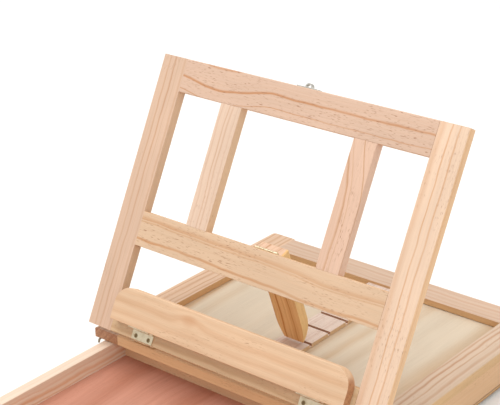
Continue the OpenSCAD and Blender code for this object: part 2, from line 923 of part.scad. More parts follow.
rim_side_rail_left();
rim_side_rail_right();
rim_front_rail();
rim_rear_rail();
top_panel();
prop_rack();
box_side_left();
box_side_right();
box_back();
box_bottom();
feet();
frame_hinge_box_leaf_left();
frame_hinge_box_leaf_right();
box_hinge_screws();
bail_plate();
bail_screws();
bail();
stile_left();
stile_right();
top_rail();
mid_rail();
bottom_rail();
mullion_left();
mullion_right();
frame_hinge_frame_leaf_left();
frame_hinge_frame_leaf_right();
frame_hinge_pins();
ledge_hinge_frame_leaf_left();
ledge_hinge_frame_leaf_right();
ledge_hinge_pins();
prop_hinge_frame_leaf();
prop_hinge_pin();
frame_hinge_screws();
catch_plate();
catch_screws();
ledge();
ledge_hinge_ledge_leaf_left();
ledge_hinge_ledge_leaf_right();
ledge_screws();
prop();
prop_hinge_prop_leaf();
prop_screws();
drawer_front();
drawer_side_left();
drawer_side_right();
drawer_back();
drawer_floor();
drawer_knob();
hook_eye();
hook();
hook_screw();
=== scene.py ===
import json
import math

import bmesh
import bpy
import numpy as np
from mathutils import Euler, Matrix, Vector


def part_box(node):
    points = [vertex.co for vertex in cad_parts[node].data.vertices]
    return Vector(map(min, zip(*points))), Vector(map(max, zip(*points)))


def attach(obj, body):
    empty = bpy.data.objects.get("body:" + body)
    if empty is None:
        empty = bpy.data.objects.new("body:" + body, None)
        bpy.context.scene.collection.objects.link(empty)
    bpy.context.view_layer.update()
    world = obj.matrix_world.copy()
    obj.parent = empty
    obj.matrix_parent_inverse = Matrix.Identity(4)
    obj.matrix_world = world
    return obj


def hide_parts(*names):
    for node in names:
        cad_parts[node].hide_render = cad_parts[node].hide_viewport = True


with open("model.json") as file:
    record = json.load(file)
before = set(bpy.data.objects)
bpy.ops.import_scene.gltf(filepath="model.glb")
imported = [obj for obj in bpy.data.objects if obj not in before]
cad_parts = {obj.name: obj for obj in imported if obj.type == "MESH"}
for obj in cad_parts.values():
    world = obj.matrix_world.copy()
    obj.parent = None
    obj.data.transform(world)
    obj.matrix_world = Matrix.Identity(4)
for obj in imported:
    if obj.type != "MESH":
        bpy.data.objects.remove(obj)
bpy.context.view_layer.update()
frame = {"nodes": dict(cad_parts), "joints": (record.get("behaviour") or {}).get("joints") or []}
print("frame loaded,", len(frame["nodes"]), "nodes")


def linearColour(hexText):
    # sRGB hex to linear: a power curve above a short straight start
    values = [int(hexText[i:i + 2], 16) / 255 for i in (1, 3, 5)]
    return tuple(v / 12.92 if v <= 0.04045 else ((v + 0.055) / 1.055) ** 2.4 for v in values) + (1.0,)


def addNode(tree, kind, settings=None, **inputs):
    # an input is a number, a colour, a socket, or a node that stands for its first output; underscores stand
    # for spaces
    made = tree.nodes.new(kind)
    for name, value in (settings or {}).items():
        setattr(made, name, value)
    for name, value in inputs.items():
        socket = made.inputs[int(name[1:]) if name[1:].isdigit() else name.replace("_", " ")]
        if isinstance(value, bpy.types.Node):
            value = value.outputs[0]
        if isinstance(value, bpy.types.NodeSocket):
            tree.links.new(value, socket)
        else:
            socket.default_value = value
    return made


# Camera and studio

view = {
    "fromRimFront": (0.7445, -0.8716, 0.6683),  # metres from the middle of the box top's front edge
    "yaw": 40.073, "pitch": -25.90, "roll": -1.017,
    "lens": 104.38, "filmWidth": 36, "shiftX": 0.031, "shiftY": 0.135, "seesTo": 50,
}


def placeCamera():
    rimLow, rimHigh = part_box("rim_front_rail")
    yaw, pitch, roll = (math.radians(view[k]) for k in ("yaw", "pitch", "roll"))
    forward = Vector((-math.sin(yaw) * math.cos(pitch), math.cos(yaw) * math.cos(pitch), math.sin(pitch)))
    level = Vector((math.cos(yaw), math.sin(yaw), 0))
    up = level.cross(forward)
    right = level * math.cos(roll) + up * math.sin(roll)
    top = up * math.cos(roll) - level * math.sin(roll)
    camera = bpy.data.objects.new("camera", bpy.data.cameras.new("camera"))
    camera.matrix_world = Matrix((
        (right.x, top.x, -forward.x, view["fromRimFront"][0]),
        (right.y, top.y, -forward.y, view["fromRimFront"][1] + rimLow.y),
        (right.z, top.z, -forward.z, view["fromRimFront"][2] + rimHigh.z),
        (0, 0, 0, 1)))
    camera.data.sensor_width = view["filmWidth"]
    camera.data.lens = view["lens"]
    camera.data.shift_x = view["shiftX"]
    camera.data.shift_y = view["shiftY"]
    camera.data.clip_end = view["seesTo"]
    bpy.context.scene.collection.objects.link(camera)
    bpy.context.scene.camera = camera


studio = {
    "floorSize": 14, "floorColour": "#f4f3f1", "floorRough": 0.9,
    # strength of the sky overhead and at the horizon, the height where it is full, and its colour
    "skyTop": 1.02, "skySide": 0.66, "skyFull": 0.9, "skyColour": (1.0, 0.99, 0.98, 1),
    "softboxes": [
        # where it hangs, where it points, its size and its power in watts
        ((-0.5, -0.3, 2.2), (0, 0, 0.1), 2.0, 26),
        ((1.6, -1.3, 1.3), (0, 0, 0.1), 1.4, 7),
    ],
}


def buildStudio():
    size = studio["floorSize"]
    mesh = bpy.data.meshes.new("floor")
    corners = [(-size, -size, 0), (size, -size, 0), (size, size, 0), (-size, size, 0)]
    mesh.from_pydata(corners, [], [(0, 1, 2, 3)])
    floor = bpy.data.objects.new("floor", mesh)
    bpy.context.scene.collection.objects.link(floor)
    paint = bpy.data.materials.new("matte studio paper")
    paint.use_nodes = True
    shader = paint.node_tree.nodes["Principled BSDF"]
    shader.inputs["Base Color"].default_value = linearColour(studio["floorColour"])
    shader.inputs["Roughness"].default_value = studio["floorRough"]
    mesh.materials.append(paint)

    world = bpy.data.worlds.new("studio")
    bpy.context.scene.world = world
    world.use_nodes = True
    tree = world.node_tree
    tree.nodes.clear()
    where = addNode(tree, "ShaderNodeTexCoord")
    split = addNode(tree, "ShaderNodeSeparateXYZ", Vector=where.outputs["Generated"])
    glow = addNode(tree, "ShaderNodeMapRange", None, Value=split.outputs["Z"], From_Max=studio["skyFull"],
                   To_Min=studio["skySide"], To_Max=studio["skyTop"])
    sky = addNode(tree, "ShaderNodeBackground", None, Color=studio["skyColour"], Strength=glow)
    addNode(tree, "ShaderNodeOutputWorld", None, Surface=sky)

    for number, (place, target, width, power) in enumerate(studio["softboxes"]):
        lamp = bpy.data.lights.new(f"softbox{number}", "AREA")
        lamp.shape = "SQUARE"
        lamp.size = width
        lamp.energy = power
        box = bpy.data.objects.new(lamp.name, lamp)
        box.location = place
        box.rotation_euler = (Vector(target) - Vector(place)).to_track_quat("-Z", "Y").to_euler()
        bpy.context.scene.collection.objects.link(box)


placeCamera()
buildStudio()
bpy.context.scene.view_settings.view_transform = "Standard"
print("camera and studio done")

# Wood

tilt = next(j for j in frame["joints"] if j["name"] == "frame_tilt")
frameLean = -tilt["range_deg"][0]  # the raised frame's angle above flat
propSlope = 70.11  # the prop's angle below level

# Turns each board's place into board space: grain along Y, width along X, thickness along Z
grainTurn = {
    "boxDepth": (0, 0, 0),
    "boxWidth": (0, 0, 90),
    "frameUp": (-frameLean, 0, 0),
    "frameAcross": (-frameLean, 0, 90),
    "propLength": (propSlope, 0, 0),
}

# What a board has unless its own line says otherwise. Lengths are in mm, and shares run across the board's width.
plainBoard = {
    "early": "#d6b99f",   # pale wood between the lines
    "late": "#bd8d65",    # the growth lines
    "bands": ((0.3, 0.05, 0.4), (0.7, 0.04, 0.4)),  # place, half width and strength of each growth line
    "wander": 5.0,        # how far a line strays sideways
    "stretch": 170.0,     # length over which it strays
    "bend": (0, 1, 0),    # where along the board the lines bow, over what length, and how far
    "tilt": 0.9,          # sideways run of a line through the thickness
    "fine": 0.1,          # strength of the fine lines between
    "fineStep": 2.6,      # their spacing
    "dash": 0.5,          # strength of the resin dashes
    "dashZone": 0.5,      # share of the face that has them
    "side": "#fff1d8",    # what the sawn sides are tinted with: partly their own golden colour, partly painted warm shade standing for light bounced off the wood nearby
    "seed": 1,
}

# What all boards share
woodColours = {
    "dash": "#94603e",                # resin canals
    "knot": "#bf8458",
    "end": ("#e0bfa4", "#b58c70"),    # a cut end and its pores
    "plyEnd": ("#f2e2c8", "#b98f68"),  # light and dark layers of plywood
}
# how far a face must turn to the board's end before it shows, over what further turn it does, and how much
endGrain = (0.75, 0.2, 0.9)
plyEdge = (0.6, 0.3, 0.8)
seedStep = (1.7, 3.1, 2.3)  # how far each seed moves the noise, so that no two boards match

# Noise in the wood: shift, scale in 1 / mm across, along and through the board, detail, roughness
noiseFields = {
    "stray": (5.0, (0.6, 1.0, 0.6), 2.0, 0.5),       # how the lines wander; this scale is per stretch
    "shiver": (9.0, (0.05, 0.03, 0.05), 2.0, 0.5),   # small waves of the lines
    "uneven": (13.0, (0.02, 0.012, 0.02), 3.0, 0.5),  # the lines fade and come back
    "fibre": (17.0, (1.4, 0.025, 1.4), 4.0, 0.6),    # streaks 0.7 x 40 mm, twice as coarse as real ones to show
    "patch": (21.0, (0.04, 0.009, 0.04), 2.0, 0.5),  # faint paler and darker areas
    "canal": (25.0, (2.1, 0.2, 2.1), 0.0, 0.5),      # resin canals: dashes 0.5 x 5 mm, twice the real width
    "zone": (29.0, (0.05, 0.012, 0.05), 2.0, 0.5),   # where the dashes gather
    "speckle": (33.0, (1.1, 0.02, 1.1), 3.0, 0.5),   # pores of a cut end
}

# What the noise does: which field, the span of it that counts, and what that span becomes
noiseUses = {
    "waves": ("shiver", 0.3, 0.7, -0.7, 0.7),          # mm sideways
    "lineStrength": ("uneven", 0.3, 0.7, 0.65, 1.15),
    "fibreTone": ("fibre", 0.25, 0.75, 0.93, 1.05),    # the wood's brightness
    "patchTone": ("patch", 0.3, 0.7, 0.95, 1.04),
    "roughness": ("fibre", 0.2, 0.8, 0.66, 0.52),
    "pores": ("speckle", 0.35, 0.7, 0.0, 1.0),
}

# each board's side tint is partly the sawn sides' own golden colour and partly painted warm shade from bounced light
boards = {
    "stile_left": dict(
        grain="frameUp", early="#d1b198", late="#bc8b68", side="#fffdf2", seed=11, fine=0.06,
        wander=1.2, dash=0.45, dashZone=0.4,
        bands=((0.3, 0.035, 0.55), (0.53, 0.04, 0.7), (0.68, 0.02, 0.3), (0.92, 0.05, 0.35))),
    "stile_right": dict(
        grain="frameUp", early="#e2c5ab", late="#ca966b", seed=23, wander=1.0, dash=0.6, dashZone=0.45,
        bands=((0.12, 0.16, 0.34), (0.43, 0.03, 0.85), (0.7, 0.035, 0.75), (1.1, 0.05, 0.3))),
    "top_rail": dict(
        grain="frameAcross", early="#d0b099", late="#bd875d", seed=31, wander=1.4, stretch=120.0,
        bend=(-92, 62, -8.5), dash=0.75, dashZone=0.85, fine=0.08,
        bands=((-0.2, 0.05, 0.7), (0.43, 0.045, 1.0), (0.82, 0.02, 0.8), (1.2, 0.05, 0.5))),
    "mid_rail": dict(
        grain="frameAcross", early="#d5b697", late="#bf895a", seed=42, wander=3.2, stretch=150.0,
        dash=0.75, dashZone=0.7,
        bands=((0.3, 0.1, 0.6), (0.36, 0.03, 0.5), (0.86, 0.05, 0.8), (1.2, 0.06, 0.5))),
    "bottom_rail": dict(
        grain="frameAcross", early="#d1b38d", late="#b68d63", seed=57, wander=3.0, dash=0.6,
        bands=((0.2, 0.06, 0.4), (0.55, 0.05, 0.5), (0.85, 0.08, 0.5))),
    "mullion_left": dict(
        grain="frameUp", early="#dcc0a9", late="#c49572", side="#fff6e2", seed=63, fine=0.06,
        wander=2.4, stretch=110.0, dash=0.35,
        bands=((0.2, 0.05, 0.3), (0.5, 0.04, 0.6), (0.66, 0.05, 0.45), (0.9, 0.04, 0.3))),
    "mullion_right": dict(
        grain="frameUp", early="#dab79f", late="#bb895f", side="#ffffff", seed=71, wander=2.0,
        dash=0.75, dashZone=0.5, bend=(80, 85, 15),
        bands=((-0.15, 0.05, 0.5), (0.32, 0.06, 0.75), (0.5, 0.03, 0.4), (0.98, 0.03, 0.8))),
    "ledge": dict(
        grain="frameAcross", early="#ddbc9a", late="#c28d61", side="#fffaf2", seed=88, wander=3.5,
        stretch=190.0, dash=0.5, dashZone=0.45, fine=0.07,
        bands=((0.14, 0.07, 0.15), (0.4, 0.14, 0.38), (0.72, 0.12, 0.28), (0.96, 0.08, 0.3)),
        knot=(0.3, -45, 5.0)),
    "prop": dict(
        grain="propLength", early="#f7c98d", late="#c87b32", side="#f7ffff", seed=94,
        endWood=("#dcbaa2", "#b48560"), wander=1.6, dash=0.3, fine=0.35,
        bands=((0.12, 0.03, 0.35), (0.38, 0.05, 0.85), (0.6, 0.03, 0.35), (0.8, 0.05, 0.8)), tilt=0.3),
    "rim_side_rail_left": dict(
        grain="boxDepth", early="#d5b598", late="#b37e57", side="#ffecc6", seed=103, wander=2.5,
        fineStep=3.4,
        bands=((0.2, 0.05, 0.6), (0.45, 0.08, 0.5), (0.7, 0.04, 0.6), (0.9, 0.06, 0.5))),
    "rim_side_rail_right": dict(
        grain="boxDepth", early="#cfb79f", late="#af7a54", side="#ffecc6", seed=117, wander=2.0,
        fineStep=3.0,
        bands=((0.1, 0.05, 0.6), (0.3, 0.06, 0.7), (0.52, 0.04, 0.6), (0.8, 0.08, 0.5))),
    "rim_front_rail": dict(
        grain="boxWidth", early="#e2bb8d", late="#bd8354", side="#ffffff", seed=125, wander=4.5,
        dash=0.5,
        bands=((0.25, 0.06, 0.5), (0.6, 0.05, 0.6), (0.86, 0.06, 0.6))),
    "rim_rear_rail": dict(
        grain="boxWidth", early="#cdb29a", late="#c0957a", side="#ffecc6", seed=131, wander=2.2,
        dash=0.2, fine=0.4, fineStep=3.2,
        bands=((0.2, 0.04, 0.45), (0.45, 0.05, 0.5), (0.62, 0.03, 0.5), (0.85, 0.05, 0.4))),
    "prop_rack": dict(
        grain="boxDepth", early="#d7c4b6", late="#c09d88", side="#ffecc6", seed=144, wander=1.2,
        dash=0.6, dashZone=0.6, fine=0.5, fineStep=1.6,
        bands=((0.25, 0.05, 0.3), (0.75, 0.05, 0.3))),
    "box_side_left": dict(grain="boxDepth", late="#c88f62", seed=151),
    "box_side_right": dict(grain="boxDepth", late="#c88f62", seed=163),
    "box_back": dict(grain="boxWidth", late="#c88f62", seed=176),
    "drawer_front": dict(grain="boxWidth", seed=182, wander=4.0),
    "drawer_side_left": dict(
        grain="boxDepth", early="#e6d2bd", late="#daab85", side="#ffffff", seed=195, wander=1.6,
        dash=0.2, tilt=0.5, fine=0.3,
        bands=((0.2, 0.05, 0.15), (1.22, 0.08, 0.5), (1.48, 0.14, 0.8), (1.72, 0.06, 0.7))),
    "drawer_side_right": dict(
        grain="boxDepth", early="#e6d2bd", late="#daab85", side="#ffffff", seed=207, wander=1.6,
        dash=0.2, tilt=0.5, fine=0.3,
        bands=((-0.1, 0.05, 0.15), (0.22, 0.08, 0.5), (0.48, 0.14, 0.8), (0.72, 0.06, 0.7))),
    "drawer_back": dict(
        grain="boxWidth", early="#e1bd94", late="#c49161", side="#ffffff", seed=214, wander=2.5,
        tilt=1.5),
    "drawer_knob": dict(grain="boxDepth", seed=226, wander=2.0, bands=((0.3, 0.04, 0.6), (0.6, 0.05, 0.7))),
    # rotary-cut sheets: the figure is broad, and the edges show the plies
    "top_panel": dict(
        grain="boxDepth", early="#d2c2ab", late="#bd996f", seed=243, wander=10.0, stretch=260.0,
        tilt=0, dash=0.2, dashZone=0.3, fine=0.07, fineStep=14.0, plies=3,
        bands=((0.03, 0.03, 0.75), (0.1, 0.03, 0.3), (0.57, 0.02, 0.55),
               (0.64, 0.025, 0.5), (0.72, 0.03, 0.3), (0.96, 0.04, 0.55))),
    "box_bottom": dict(
        grain="boxDepth", early="#d0bfa6", late="#bb9a71", seed=258, wander=18.0, stretch=170.0,
        tilt=0, dash=0.3, fineStep=7.0, plies=3,
        bands=((0.1, 0.04, 0.6), (0.35, 0.03, 0.6), (0.55, 0.05, 0.5), (0.8, 0.04, 0.6))),
    "drawer_floor": dict(
        grain="boxDepth", early="#c48b75", late="#a7684d", seed=264, wander=9.0, stretch=150.0, tilt=0,
        dash=0.3, dashZone=0.6, fine=0.2, fineStep=5.0, plies=3,
        bands=((0.15, 0.06, 0.5), (0.4, 0.05, 0.5), (0.62, 0.06, 0.5), (0.85, 0.06, 0.5))),
}


def boardSize(name, turn):
    # how wide, long and thick the board is once its corners are turned into board space, in mm
    mesh = frame["nodes"][name].data
    points = np.empty(len(mesh.vertices) * 3)
    mesh.vertices.foreach_get("co", points)
    turned = points.reshape(-1, 3) @ np.array(Euler(turn).to_matrix()).T * 1000
    low, high = turned.min(0), turned.max(0)
    return (low + high) / 2, high - low


def sandedWood(name, look):
    # Radiata pine and rotary-cut plywood, planed and sanded, no varnish: a matte pale face with a few tan growth
    # lines, fine fibre along the grain, short brown resin dashes, and darker speckled ends. Lengths are in mm.
    material = bpy.data.materials.new(f"sanded {'plywood' if 'plies' in look else 'pine'} {name}")
    material.use_nodes = True
    tree = material.node_tree
    shader = tree.nodes["Principled BSDF"]
    seed = look["seed"]
    turn = tuple(math.radians(a) for a in grainTurn[look["grain"]])
    middle, size = boardSize(name, turn)
    width, thick = size[0], size[2]
    where = addNode(tree, "ShaderNodeTexCoord")
    board = addNode(tree, "ShaderNodeMapping", {"vector_type": "POINT"}, Vector=where.outputs["Object"],
                    Rotation=turn, Scale=(1000, 1000, 1000), Location=tuple(-middle))
    split = addNode(tree, "ShaderNodeSeparateXYZ", None, Vector=board)

    field = {}
    for use, (shift, scale, detail, roughness) in noiseFields.items():
        if use == "stray":
            scale = tuple(part / look["stretch"] for part in scale)
        place = (seed * seedStep[0] + shift, seed * seedStep[1], seed * seedStep[2])
        spread = addNode(tree, "ShaderNodeMapping", None, Vector=board, Scale=scale, Location=place)
        field[use] = addNode(tree, "ShaderNodeTexNoise", None, Vector=spread, Scale=1.0, Detail=detail,
                             Roughness=roughness)
    effect = {}
    for use, (source, low, high, toLow, toHigh) in noiseUses.items():
        effect[use] = addNode(tree, "ShaderNodeMapRange", None, Value=field[source], From_Min=low, From_Max=high,
                              To_Min=toLow, To_Max=toHigh)

    # where a point lies across the growth lines, in mm from the middle:
    # across = X + tilt (thickness / 2 - Z) + stray + waves + bow
    stray = addNode(tree, "ShaderNodeMapRange", None, Value=field["stray"], From_Min=0.25, From_Max=0.75,
                    To_Min=-look["wander"], To_Max=look["wander"])
    bowPlace, bowLength, bowDepth = look["bend"]
    pastBow = addNode(tree, "ShaderNodeMath", {"operation": "SUBTRACT"}, i0=split.outputs["Y"], i1=bowPlace)
    fromBow = addNode(tree, "ShaderNodeMath", {"operation": "ABSOLUTE"}, i0=pastBow)
    bow = addNode(tree, "ShaderNodeMapRange", {"interpolation_type": "SMOOTHSTEP"}, Value=fromBow, From_Min=0.0,
                  From_Max=bowLength, To_Min=bowDepth, To_Max=0.0)
    sunk = addNode(tree, "ShaderNodeMath", {"operation": "MULTIPLY_ADD"}, i0=split.outputs["Z"], i1=-look["tilt"],
                   i2=look["tilt"] * thick / 2)
    across = split.outputs["X"]
    for part in (sunk, stray, effect["waves"], bow):
        across = addNode(tree, "ShaderNodeMath", {"operation": "ADD"}, i0=across, i1=part)
    if "knot" in look:
        # the lines part round a small knot
        knotShare, knotY, knotSize = look["knot"]
        knotPlace = ((knotShare - 0.5) * width, knotY, 0.0)
        fromKnot = addNode(tree, "ShaderNodeVectorMath", {"operation": "SUBTRACT"}, i0=board, i1=knotPlace)
        flat = addNode(tree, "ShaderNodeVectorMath", {"operation": "MULTIPLY"}, i0=fromKnot, i1=(1.0, 0.6, 0.0))
        away = addNode(tree, "ShaderNodeVectorMath", {"operation": "LENGTH"}, i0=flat).outputs["Value"]
        push = addNode(tree, "ShaderNodeMapRange", {"interpolation_type": "SMOOTHSTEP"}, Value=away, From_Min=0.0,
                       From_Max=3.2 * knotSize, To_Min=knotSize, To_Max=0.0)
        across = addNode(tree, "ShaderNodeMath", {"operation": "ADD"}, i0=across, i1=push)

    # growth lines: each fades in slowly and ends more sharply. The ramp covers one width past each edge.
    share = addNode(tree, "ShaderNodeMapRange", None, Value=across, From_Min=-1.5 * width, From_Max=1.5 * width)
    lines = addNode(tree, "ShaderNodeValToRGB", None, Fac=share)
    lines.color_ramp.interpolation = "EASE"
    stops = lines.color_ramp.elements
    stops[0].color = (0, 0, 0, 1)
    stops[1].color = (0, 0, 0, 1)
    for place, half, strength in look["bands"]:
        for offset, value in ((-1.6 * half, 0), (0, strength), (0.9 * half, 0)):
            stop = stops.new((place + offset + 1) / 3)
            stop.color = (value, value, value, 1)
    lineMask = addNode(tree, "ShaderNodeMath", {"operation": "MULTIPLY"}, i0=lines, i1=effect["lineStrength"])
    fineStep = look["fineStep"]
    finePlace = addNode(tree, "ShaderNodeMath", {"operation": "MULTIPLY_ADD"}, i0=across, i1=1 / fineStep,
                        i2=seed * 7.0 / fineStep)
    fineNoise = addNode(tree, "ShaderNodeTexNoise", {"noise_dimensions": "1D"}, W=finePlace, Scale=1.0,
                        Detail=2.0)
    fineMask = addNode(tree, "ShaderNodeMapRange", None, Value=fineNoise, From_Min=0.42, From_Max=0.72,
                       To_Max=look["fine"])
    mask = addNode(tree, "ShaderNodeMath", {"operation": "ADD", "use_clamp": True}, i0=lineMask, i1=fineMask)
    wood = addNode(tree, "ShaderNodeMix", {"data_type": "RGBA"}, Factor=mask, i6=linearColour(look["early"]),
                   i7=linearColour(look["late"])).outputs[2]

    # fibre and patches change how pale the wood is, and the dashes lie over it
    tone = addNode(tree, "ShaderNodeMath", {"operation": "MULTIPLY"}, i0=effect["fibreTone"],
                   i1=effect["patchTone"])
    toned = addNode(tree, "ShaderNodeVectorMath", {"operation": "SCALE"}, i0=wood, Scale=tone)
    zoneLow = 0.62 - 0.35 * look["dashZone"]
    zone = addNode(tree, "ShaderNodeMapRange", None, Value=field["zone"], From_Min=zoneLow,
                   From_Max=zoneLow + 0.18)
    canal = addNode(tree, "ShaderNodeMapRange", None, Value=field["canal"], From_Min=0.68, From_Max=0.78,
                    To_Max=look["dash"])
    dashMask = addNode(tree, "ShaderNodeMath", {"operation": "MULTIPLY"}, i0=canal, i1=zone)
    face = addNode(tree, "ShaderNodeMix", {"data_type": "RGBA"}, Factor=dashMask, i6=toned,
                   i7=linearColour(woodColours["dash"])).outputs[2]
    if "knot" in look:
        core = addNode(tree, "ShaderNodeMapRange", {"interpolation_type": "SMOOTHSTEP"}, Value=away,
                       From_Min=0.3 * knotSize, From_Max=1.5 * knotSize, To_Min=0.35, To_Max=0.0)
        face = addNode(tree, "ShaderNodeMix", {"data_type": "RGBA"}, Factor=core, i6=face,
                       i7=linearColour(woodColours["knot"])).outputs[2]

    # sawn sides are a little more golden than the planed faces; the same tint also paints warm shade on them, standing
    # for the light that the wood around them bounces
    turned = addNode(tree, "ShaderNodeMapping", {"vector_type": "NORMAL"}, Vector=where.outputs["Normal"],
                     Rotation=turn)
    facing = addNode(tree, "ShaderNodeVectorMath", {"operation": "ABSOLUTE"}, i0=turned)
    facingSplit = addNode(tree, "ShaderNodeSeparateXYZ", None, Vector=facing)
    sideMask = addNode(tree, "ShaderNodeMapRange", None, Value=facingSplit.outputs["X"], From_Min=0.6,
                       From_Max=0.95)
    face = addNode(tree, "ShaderNodeMix", {"data_type": "RGBA", "blend_type": "MULTIPLY"}, Factor=sideMask,
                   i6=face, i7=linearColour(look["side"])).outputs[2]
    # cut ends drink in light: darker, redder and speckled, or layered where the sheet is plywood
    endColours, endPattern = woodColours["end"], effect["pores"]
    endFrom, endWidth, endShare = endGrain
    endFacing = facingSplit.outputs["Y"]
    if "endWood" in look:
        # an end that is paler than the faces, with the same growth lines across it
        endColours, endPattern = look["endWood"], mask
    if "plies" in look:
        plyLevel = addNode(tree, "ShaderNodeMath", {"operation": "MULTIPLY"}, i0=split.outputs["Z"],
                           i1=look["plies"] / thick)
        plyWave = addNode(tree, "ShaderNodeMath", {"operation": "PINGPONG"}, i0=plyLevel, i1=1.0)
        endPattern = addNode(tree, "ShaderNodeMapRange", None, Value=plyWave, From_Min=0.35, From_Max=0.6)
        endFacing = addNode(tree, "ShaderNodeMath", {"operation": "SUBTRACT"}, i0=1.0,
                            i1=facingSplit.outputs["Z"])
        endColours = woodColours["plyEnd"]
        endFrom, endWidth, endShare = plyEdge
    endTone = addNode(tree, "ShaderNodeMix", {"data_type": "RGBA"}, Factor=endPattern,
                      i6=linearColour(endColours[0]), i7=linearColour(endColours[1])).outputs[2]
    endMask = addNode(tree, "ShaderNodeMapRange", None, Value=endFacing, From_Min=endFrom,
                      From_Max=endFrom + endWidth, To_Max=endShare)
    endBlend = "MIX" if "endWood" in look else "MULTIPLY"
    finished = addNode(tree, "ShaderNodeMix", {"data_type": "RGBA", "blend_type": endBlend}, Factor=endMask,
                       i6=face, i7=endTone)
    tree.links.new(finished.outputs[2], shader.inputs["Base Color"])
    tree.links.new(effect["roughness"].outputs["Result"], shader.inputs["Roughness"])
    shader.inputs["IOR"].default_value = 1.45
    # the fibre stands up and the dashes are pits
    height = addNode(tree, "ShaderNodeMath", {"operation": "SUBTRACT"}, i0=field["fibre"], i1=dashMask)
    bump = addNode(tree, "ShaderNodeBump", None, Height=height, Strength=0.25, Distance=0.0003)
    tree.links.new(bump.outputs["Normal"], shader.inputs["Normal"])
    return material


def dress(name, material):
    slots = frame["nodes"][name].material_slots
    if not slots:
        frame["nodes"][name].data.materials.append(material)
    for slot in slots:
        slot.material = material


woods = {}
for name, look in boards.items():
    woods[name] = sandedWood(name, {**plainBoard, **look})
    dress(name, woods[name])
print("boards done,", len(woods))

# Metal and rubber

finishes = {
    # stamped steel with a thin dulled brass plate: pale gold, slightly cloudy, with fine rub marks
    "dulled brass plate": dict(base="#e8dabd", worn="#c8b592", metallic=1.0, rough=(0.3, 0.46), grit=0.9,
                               mark=6.0, bump=0.12, nodes=[n for n in frame["nodes"] if "hinge" in n and "leaf" in n]),
    # turned steel pins with the same plate, rubbed brighter
    "rubbed brass pin": dict(base="#e2d2aa", worn="#a8946c", metallic=1.0, rough=(0.24, 0.4), grit=1.5,
                             mark=3.0, bump=0.1, nodes=[n for n in frame["nodes"] if "hinge_pin" in n]),
    # cross-head wood screws: a darker brown than the leaves, with darker patches where a small noise cloud is high
    "dark brown screw steel": dict(base="#9c8662", worn="#5b4a36", metallic=1.0, rough=(0.32, 0.5), grit=2.0,
                                mark=1.2, bump=0.2,
                                nodes=[n for n in frame["nodes"] if n.endswith("screws")
                                       and "catch" not in n and "bail" not in n]),
    # nickel-plated pressed steel: cool grey-white with a soft tumbled sheen
    "nickel plated steel": dict(base="#d9d6ce", worn="#b3aea3", metallic=1.0, rough=(0.22, 0.36), grit=1.2,
                                mark=5.0, bump=0.1,
                                nodes=["catch_plate", "catch_screws", "bail_plate", "bail_screws", "bail"]),
    # drawn steel wire with a thin dark zinc coat: grey-brown, brighter where it rubs
    "dark zinc wire": dict(base="#a39b8b", worn="#6b6153", metallic=1.0, rough=(0.3, 0.48), grit=1.8, mark=2.5,
                           bump=0.15, nodes=["hook", "hook_eye", "hook_screw"]),
    # moulded rubber: nearly black, matte, with dust in the pores
    "moulded rubber": dict(base="#2b2927", worn="#4a4642", metallic=0.0, rough=(0.72, 0.88), grit=2.5, mark=4.0,
                           bump=0.3, nodes=["feet"]),
}


def finishedMetal(name, look):
    # a slow cloud mixes the fresh and worn colours, and a fine grit roughens the sheen; sizes are 1 / mm and mm
    material = bpy.data.materials.new(name)
    material.use_nodes = True
    tree = material.node_tree
    shader = tree.nodes["Principled BSDF"]
    where = addNode(tree, "ShaderNodeTexCoord")
    cloud = addNode(tree, "ShaderNodeTexNoise", None, Vector=where.outputs["Object"], Scale=1000 / look["mark"],
                    Detail=4.0, Roughness=0.6)
    wear = addNode(tree, "ShaderNodeMapRange", None, Value=cloud, From_Min=0.42, From_Max=0.75, To_Max=0.9)
    tint = addNode(tree, "ShaderNodeMix", {"data_type": "RGBA"}, Factor=wear,
                   i6=linearColour(look["base"]), i7=linearColour(look["worn"]))
    tree.links.new(tint.outputs[2], shader.inputs["Base Color"])
    grit = addNode(tree, "ShaderNodeTexNoise", None, Vector=where.outputs["Object"], Scale=1000 * look["grit"],
                   Detail=2.0)
    sheen = addNode(tree, "ShaderNodeMapRange", None, Value=grit, From_Min=0.3, From_Max=0.7,
                    To_Min=look["rough"][0], To_Max=look["rough"][1])
    tree.links.new(sheen.outputs["Result"], shader.inputs["Roughness"])
    shader.inputs["Metallic"].default_value = look["metallic"]
    bump = addNode(tree, "ShaderNodeBump", None, Height=grit, Strength=look["bump"], Distance=0.0001)
    tree.links.new(bump.outputs["Normal"], shader.inputs["Normal"])
    return material


metals = {}
for name, look in finishes.items():
    metals[name] = finishedMetal(name, look)
    for node in look["nodes"]:
        dress(node, metals[name])
print("metals and rubber done")

# Turned knob and bent wires


def surface(name, grid, closedAcross, material, body, replaced):
    # joins a grid of points (rows, columns, xyz) into quads; columns always close, rows close on request
    rows, columns = grid.shape[:2]
    last = rows if closedAcross else rows - 1
    row, column = np.meshgrid(np.arange(last), np.arange(columns), indexing="ij")
    nextRow, nextColumn = (row + 1) % rows, (column + 1) % columns
    quads = np.stack((row * columns + column, row * columns + nextColumn, nextRow * columns + nextColumn,
                      nextRow * columns + column), axis=-1).reshape(-1, 4)
    mesh = bpy.data.meshes.new(name)
    mesh.from_pydata(grid.reshape(-1, 3).tolist(), [], quads.tolist())
    built = bmesh.new()
    built.from_mesh(mesh)
    bmesh.ops.remove_doubles(built, verts=built.verts, dist=1e-6)
    bmesh.ops.recalc_face_normals(built, faces=built.faces)
    built.to_mesh(mesh)
    built.free()
    mesh.shade_smooth()
    piece = bpy.data.objects.new(name, mesh)
    bpy.context.scene.collection.objects.link(piece)
    mesh.materials.append(material)
    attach(piece, body)
    if replaced:
        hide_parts(replaced)


